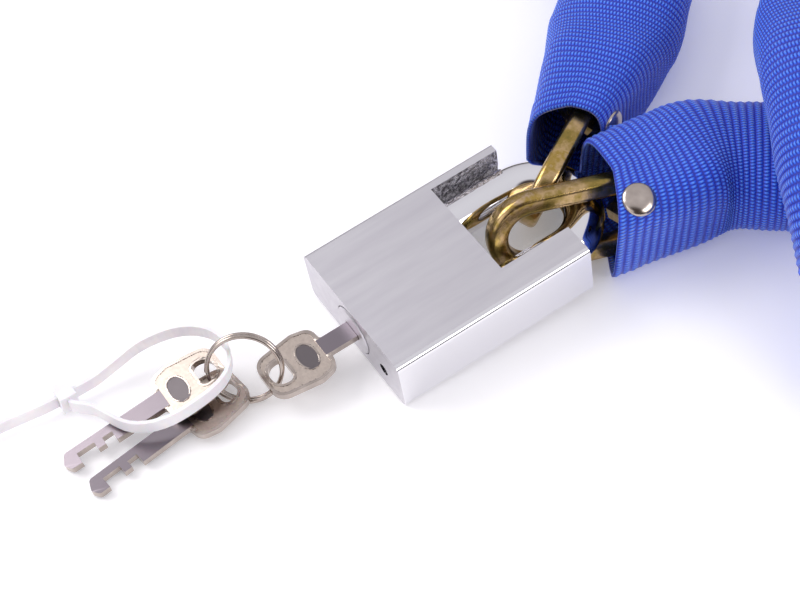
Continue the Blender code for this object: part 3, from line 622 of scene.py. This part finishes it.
# ---- the padlock's block ----
def makeBlock():
    block = boxTool((keyEnd, -halfWidth, 0), (nose, halfWidth, lock["thickness"]))
    block = newPiece("padlock_block")
    applyPlace(block)
    bpy.ops.object.mode_set(mode="EDIT")
    bpy.ops.mesh.select_mode(type="EDGE")
    bpy.ops.mesh.select_all(action="DESELECT")
    bpy.ops.object.mode_set(mode="OBJECT")
    for edge in block.data.edges:
        a, b = [block.data.vertices[i].co for i in edge.vertices]
        edge.select = abs(a.x - b.x) > lock["length"] / 2
    bpy.ops.object.mode_set(mode="EDIT")
    bpy.ops.mesh.bevel(offset=lock["edgeRound"], segments=10, profile=0.5)
    bpy.ops.object.mode_set(mode="OBJECT")
    over = 1 * mm
    leg = lock["legOffset"]
    cutOut(block, boxTool((notchFloor, -halfWidth + lock["heelWall"], -over),
                          (nose + over, halfWidth - lock["toeWall"], lock["thickness"] + over)))
    cutOut(block, rodTool(7.1 * mm, (-4.5 * mm, leg, midHeight), (notchFloor + over, leg, midHeight)))
    cutOut(block, rodTool(7.1 * mm, (-27 * mm, -leg, midHeight), (nose + over, -leg, midHeight)))
    cutOut(block, rodTool(8.3 * mm, (notchFloor + 0.2 * mm, leg, midHeight), (nose + over, leg, midHeight), 64))
    cutOut(block, rodTool(8.3 * mm, (keyEnd - over, 0, midHeight), (-9.4 * mm, 0, midHeight)))
    cutOut(block, rodTool(8.8 * mm, (keyEnd - over, 0, midHeight), (keyEnd + 2.3 * mm, 0, midHeight), 64))
    cutOut(block, rodTool(6.2 * mm, (-10.8 * mm, 0, midHeight), (7.6 * mm, 0, midHeight)))
    cutOut(block, rodTool(2.1 * mm, (keyEnd - over, -16.8 * mm, 8.3 * mm), (-26 * mm, -16.8 * mm, 8.3 * mm)))
    cutOut(block, rodTool(3.3 * mm, (2.5 * mm, -12 * mm, midHeight), (2.5 * mm, 12 * mm, midHeight)))
    cutOut(block, rodTool(1.5 * mm, (-31.3 * mm, -26.95 * mm, 13.4 * mm), (-31.3 * mm, -7 * mm, 13.4 * mm)))
    applyModifier(block, "BEVEL", width=0.22 * mm, segments=2, limit_method="ANGLE",
                  angle_limit=math.radians(40), use_clamp_overlap=True)
    for face in block.data.polygons:
        middle = face.center
        away = math.hypot(middle.y - leg, middle.z - midHeight)
        inChannel = middle.x > notchFloor and middle.y > 0 and abs(away - 8.3 * mm) < 0.4 * mm
        if inChannel or (middle.x > notchFloor + 0.3 * mm and abs(middle.y) < halfWidth - 1 * mm
                         and abs(face.normal.x) < 0.5 and abs(face.normal.y) > 0.5):
            face.material_index = 2
        elif abs(face.normal.z) > 0.99:
            face.material_index = 1
        elif abs(face.normal.x) > 0.9:
            face.material_index = 1
    indexes = [face.material_index for face in block.data.polygons]
    placeBy(block, lockMatrix)
    finishPiece(block, "lock", [chrome, satinFace, milled], ["lock_body"], 40, True)
    for face, index in zip(block.data.polygons, indexes):
        face.material_index = index


makeBlock()


# ---- the shackle: a ring of points drawn along, spun and drawn back ----
def makeShackle():
    bar = {"radius": 6.7 * mm, "toeEnd": -3.5 * mm, "heelEnd": -20 * mm, "crown": 33 * mm}
    leg = lock["legOffset"]
    deselect()
    bpy.ops.mesh.primitive_circle_add(vertices=64, radius=bar["radius"], fill_type="NGON",
                                      location=(bar["toeEnd"], leg, midHeight), rotation=(0, math.pi / 2, 0))
    piece = newPiece("shackle_bar")
    applyPlace(piece)
    bpy.ops.object.mode_set(mode="EDIT")
    bpy.ops.mesh.select_all(action="SELECT")
    bpy.ops.mesh.extrude_region_move(TRANSFORM_OT_translate={"value": (bar["crown"] - bar["toeEnd"], 0, 0)})
    bpy.ops.mesh.spin(steps=48, angle=math.pi, center=(bar["crown"], 0, midHeight), axis=(0, 0, 1))
    bpy.ops.mesh.extrude_region_move(TRANSFORM_OT_translate={"value": (bar["heelEnd"] - bar["crown"], 0, 0)})
    bpy.ops.object.mode_set(mode="OBJECT")
    spans = [v.co.x for v in piece.data.vertices], [v.co.y for v in piece.data.vertices]
    print("shackle x", round(min(spans[0]), 4), round(max(spans[0]), 4), "y", round(min(spans[1]), 4))
    fixNormals(piece)
    innerSide = leg - bar["radius"]
    depth = innerSide + 2.5 * mm
    over = innerSide - 1 * mm
    ball = 2.5 * mm
    cutOut(piece, boxTool((ball - 3.4 * mm, over, 0), (ball + 3.4 * mm, depth, lock["thickness"])))
    cutOut(piece, boxTool((bar["heelEnd"] + 4 * mm, -depth, 0), (ball + 3.4 * mm, -over, lock["thickness"])))
    placeBy(piece, lockMatrix)
    finishPiece(piece, "shackle_and_chain", [chrome], ["shackle"], 40)


makeShackle()


# ---- the two end links: a rounded square section, drawn and spun round ----
endLinks = {
    "end_link_a": ((54.27, 16.31, 13.84), (0.847, 0.531, 0.022), (0.143, -0.269, 0.953), "link_a"),
    "end_link_b": ((40.17, -8.70, 13.75), (0.952, -0.304, -0.040), (0.122, 0.258, 0.958), "link_b"),
}


def makeEndLink(name):
    bar = {"size": 6.8 * mm, "corner": 2.1 * mm, "widthInside": 16 * mm, "lengthInside": 42 * mm}
    middle, along, across, body = endLinks[name]
    bend = (bar["widthInside"] + bar["size"]) / 2
    straight = (bar["lengthInside"] + bar["size"]) / 2 - bend
    deselect()
    bpy.ops.mesh.primitive_plane_add(size=bar["size"], location=(-straight, bend, 0), rotation=(0, math.pi / 2, 0))
    piece = newPiece(name + "_bar")
    applyPlace(piece)
    bpy.ops.object.mode_set(mode="EDIT")
    bpy.ops.mesh.select_all(action="SELECT")
    bpy.ops.mesh.bevel(offset=bar["corner"], segments=6, affect="VERTICES")
    bpy.ops.mesh.delete(type="ONLY_FACE")
    bpy.ops.mesh.select_all(action="SELECT")
    bpy.ops.mesh.extrude_region_move(TRANSFORM_OT_translate={"value": (2 * straight, 0, 0)})
    bpy.ops.mesh.spin(steps=28, angle=math.pi, center=(straight, 0, 0), axis=(0, 0, 1))
    bpy.ops.mesh.extrude_region_move(TRANSFORM_OT_translate={"value": (-2 * straight, 0, 0)})
    bpy.ops.mesh.spin(steps=28, angle=math.pi, center=(-straight, 0, 0), axis=(0, 0, 1))
    bpy.ops.object.mode_set(mode="OBJECT")
    fixNormals(piece)
    xAxis = Vector(along).normalized()
    yAxis = Vector(across)
    yAxis = (yAxis - xAxis * yAxis.dot(xAxis)).normalized()
    zAxis = xAxis.cross(yAxis)
    turn = Matrix((xAxis, yAxis, zAxis)).transposed().to_4x4()
    placeBy(piece, Matrix.Translation(Vector(middle) * mm) @ turn)
    finishPiece(piece, body, [zinc], [name], 40)


for name in endLinks:
    makeEndLink(name)


# ---- the keys ----
key = {
    "thickness": 2.3 * mm,
    "shoulder": -46.0 * mm,
    "outline": [
        (0, 3.3, 0.8), (-0.6, 8.6, 4), (-7, 10.2, 4), (-22, 8, 5), (-22, -8, 5), (-7, -10.2, 4),
        (-0.6, -8.6, 4), (0, -3.3, 0.8), (17.3, -3.3, 0), (17.3, 0.4, 0), (20.8, 0.4, 0), (20.8, -2.3, 0),
        (23.6, -2.3, 0), (23.6, 0.7, 0), (29.8, 0.7, 0), (29.8, -3.3, 0), (33.4, -3.3, 1), (35, -0.7, 1.4),
        (33.2, 3.3, 1.6)],
    "hole": [(-13.4, 4.6, 2.2), (-19.9, 4.6, 4), (-19.9, -4.6, 4), (-13.4, -4.6, 2.2)],
    "bow": [(-0.6, 8.6, 4), (-7, 10.2, 4), (-22, 8, 5), (-22, -8, 5), (-7, -10.2, 4), (-0.6, -8.6, 4)],
    "rim": 1.1 * mm,
    "sink": 0.28 * mm,
    "knurl": 1.05 * mm,
    "emblem": (-6.6 * mm, 3.0 * mm, 4.9 * mm),  # place along the bow, half length, half width
}
spareKeys = {
    "key_2": ((-97.97, 13.97, 6.70), (-2.02, -8.70, 179.51)),
    "key_3": ((-95.43, 5.50, 3.10), (-1.55, -2.90, 187.04)),
}


def roundedOutline(corners, steps=6):
    outline = []
    count = len(corners)
    for i, (x, y, radius) in enumerate(corners):
        here = Vector((x, y))
        before = (Vector(corners[i - 1][:2]) - here).normalized()
        after = (Vector(corners[(i + 1) % count][:2]) - here).normalized()
        half = before.angle(after) / 2
        if radius == 0 or half > math.radians(89):
            outline.append(here)
            continue
        reach = radius / math.tan(half)
        centre = here + (before + after).normalized() * radius / math.sin(half)
        first = here + before * reach - centre
        last = here + after * reach - centre
        for step in range(steps + 1):
            spoke = first.slerp(last, step / steps, first).normalized() * radius
            outline.append(centre + spoke)
    return outline


def grown(outline, by):
    # each point moves along the middle of its two edges' outward directions
    moved = []
    count = len(outline)
    area = sum(a.x * b.y - b.x * a.y for a, b in zip(outline, outline[1:] + outline[:1]))
    side = 1 if area > 0 else -1
    for i, point in enumerate(outline):
        a = (point - outline[i - 1]).normalized()
        b = (outline[(i + 1) % count] - point).normalized()
        normal = (Vector((a.y, -a.x)) + Vector((b.y, -b.x))).normalized() * side
        moved.append(point + normal * by)
    return moved


def inside(outline, x, y):
    hit = False
    for a, b in zip(outline, outline[1:] + outline[:1]):
        if (a.y > y) != (b.y > y) and x < (b.x - a.x) * (y - a.y) / (b.y - a.y) + a.x:
            hit = not hit
    return hit


def plateTool(outlines, low, high):
    # a flat curve in millimetres, filled, made a mesh and then brought to size
    curve = bpy.data.curves.new("plate", "CURVE")
    curve.dimensions = "2D"
    curve.fill_mode = "BOTH"
    curve.extrude = (high - low) / 2 / mm
    for outline in outlines:
        spline = curve.splines.new("POLY")
        spline.points.add(len(outline) - 1)
        for point, spot in zip(spline.points, outline):
            point.co = (spot.x, spot.y, 0, 1)
        spline.use_cyclic_u = True
    plate = bpy.data.objects.new("plate", curve)
    bpy.context.scene.collection.objects.link(plate)
    onlySelect(plate)
    bpy.ops.object.convert(target="MESH")
    plate = bpy.context.object
    plate.location = (0, 0, (high + low) / 2)
    plate.scale = (mm, mm, mm)
    applyPlace(plate)
    fixNormals(plate)
    return plate


def makeKeyMesh():
    outline = roundedOutline(key["outline"])
    hole = roundedOutline(key["hole"])
    bow = roundedOutline(key["bow"])
    half = key["thickness"] / 2
    piece = plateTool([outline, hole], -half, half)
    piece.name = "key"
    field = grown(bow, -key["rim"] / mm)
    holeRim = grown(hole, 0.9)
    place, halfLong, halfWide = key["emblem"]
    oval = [Vector((place + halfLong * math.cos(a), halfWide * math.sin(a))) / mm
            for a in [2 * math.pi * i / 48 for i in range(48)]]
    ovalRim = grown(oval, 0.55)
    for side in (1, -1):
        low, high = sorted((side * (half - key["sink"]), side * (half + 1 * mm)))
        cutOut(piece, plateTool([field, holeRim, ovalRim], low, high))
        low, high = sorted((side * (half - 0.2 * mm), side * (half + 1 * mm)))
        cutOut(piece, plateTool([oval], low, high))
    applyModifier(piece, "BEVEL", width=0.12 * mm, segments=2, limit_method="ANGLE",
                  angle_limit=math.radians(50), use_clamp_overlap=True)
    piece.data.materials.clear()
    for material in (nickel, knurled, blade, dulled):
        piece.data.materials.append(material)
    for face in piece.data.polygons:
        middle = face.center
        if abs(face.normal.z) > 0.9 and middle.x > 0.3 * mm and abs(abs(middle.z) - half) < 0.05 * mm:
            face.material_index = 2
        ovalReach = math.hypot((middle.x - place) / halfLong, middle.y / halfWide)
        if ovalReach < 0.97 and abs(face.normal.z) > 0.9:
            face.material_index = 3
    # the knurl: a turned grid with every other point raised
    for side in (1, -1):
        deselect()
        cells = 60
        bpy.ops.mesh.primitive_grid_add(x_subdivisions=cells, y_subdivisions=cells, size=cells * key["knurl"] / 2,
                                        location=(-11.5 * mm, 0, 0), rotation=(0, 0, math.radians(45)))
        sheet = bpy.context.object
        start = sheet.data.vertices
        for v in start:
            row, column = divmod(v.index, cells + 1)
            if (row + column) % 2:
                v.co.z = 0.22 * mm
        applyPlace(sheet)
        grid = bmesh.new()
        grid.from_mesh(sheet.data)
        loose = []
        for f in grid.faces:
            c = f.calc_center_median() / mm
            if not inside(field, c.x, c.y) or inside(holeRim, c.x, c.y) or inside(ovalRim, c.x, c.y):
                loose.append(f)
        bmesh.ops.delete(grid, geom=loose, context="FACES")
        for v in grid.verts:
            v.co.z = side * (half - key["sink"] + 0.015 * mm + v.co.z)
        if side < 0:
            bmesh.ops.reverse_faces(grid, faces=grid.faces)
        grid.to_mesh(sheet.data)
        grid.free()
        sheet.data.materials.append(knurled)
        deselect()
        sheet.select_set(True)
        piece.select_set(True)
        bpy.context.view_layer.objects.active = piece
        bpy.ops.object.join()
    return piece


keyMaster = makeKeyMesh()


def copyKey(name, matrix, body):
    piece = bpy.data.objects.new(name + "_cut", keyMaster.data.copy())
    bpy.context.scene.collection.objects.link(piece)
    indexes = [face.material_index for face in piece.data.polygons]
    placeBy(piece, matrix)
    finishPiece(piece, body, [nickel, knurled, blade, dulled], [name], 40, True)
    for face, index in zip(piece.data.polygons, indexes):
        face.material_index = index


copyKey("key_1", lockMatrix @ Matrix.Translation((key["shoulder"], 0, midHeight)), "working_key")
for name, body in (("key_2", "spare_key_upper"), ("key_3", "spare_key_lower")):
    spot, turn = spareKeys[name]
    rotation = Euler([math.radians(a) for a in turn], "ZYX").to_matrix().to_4x4() @ Matrix.Rotation(math.pi, 4, "X")
    copyKey(name, Matrix.Translation(onTable([spot])[0]) @ rotation, body)
bpy.data.objects.remove(keyMaster, do_unlink=True)


# ---- the split ring: two turns of wire ----
def makeRing():
    ring = {"centre": Vector((-71.70, 6.72, 8.85)) * mm, "normal": Vector((-0.502, -0.750, 0.431)),
            "radius": 11.6 * mm, "wire": 0.7 * mm, "pitch": 1.6 * mm, "start": math.radians(200)}
    turn = ring["normal"].to_track_quat("Z", "Y").to_matrix()
    perTurn = 72
    points = []
    for i in range(2 * perTurn - 3):
        angle = 2 * math.pi * i / perTurn + ring["start"]
        rise = ring["pitch"] * (i / perTurn - 1)
        spoke = Vector((ring["radius"] * math.cos(angle), ring["radius"] * math.sin(angle), rise))
        points.append(turn @ spoke + ring["centre"])
    curve = bpy.data.curves.new("key_ring_wire", "CURVE")
    curve.dimensions = "3D"
    curve.bevel_depth = ring["wire"]
    curve.bevel_resolution = 4
    curve.use_fill_caps = True
    spline = curve.splines.new("POLY")
    spline.points.add(len(points) - 1)
    for point, spot in zip(spline.points, points):
        point.co = (*spot, 1)
    piece = bpy.data.objects.new("key_ring_wire", curve)
    bpy.context.scene.collection.objects.link(piece)
    onlySelect(piece)
    bpy.ops.object.convert(target="MESH")
    piece = bpy.context.object
    finishPiece(piece, "split_ring", [nickel], ["key_ring"], 50)


makeRing()

# ---- the CAD's own pieces that stay ----
# the bore stop screw's near-black steel is painted shade of its hole
kept = {
    "cylinder_housing": brass, "housing_pin": steel, "bore_stop_screw": screwHoleShade, "shackle_spring": steel,
    "cylinder_plug": satinFace, "plug_clip": steel, "drive_cam": steel, "locking_ball_toe": steel,
    "locking_ball_heel": steel, "cable_tie": whiteNylon, "rivet_washer_a": nickel, "rivet_washer_b": nickel,
}
kept.update({f"wafer_{i}": brass for i in range(1, 5)})
kept.update({name: zinc for name in links})
for name, material in kept.items():
    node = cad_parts[name]
    node.data.materials.clear()
    node.data.materials.append(material)

# ---- the tabletop ----
deselect()
bpy.ops.mesh.primitive_plane_add(size=8, location=(0, 0, floorHeight))
floor = newPiece("tabletop")
floor.data.materials.append(tabletop)
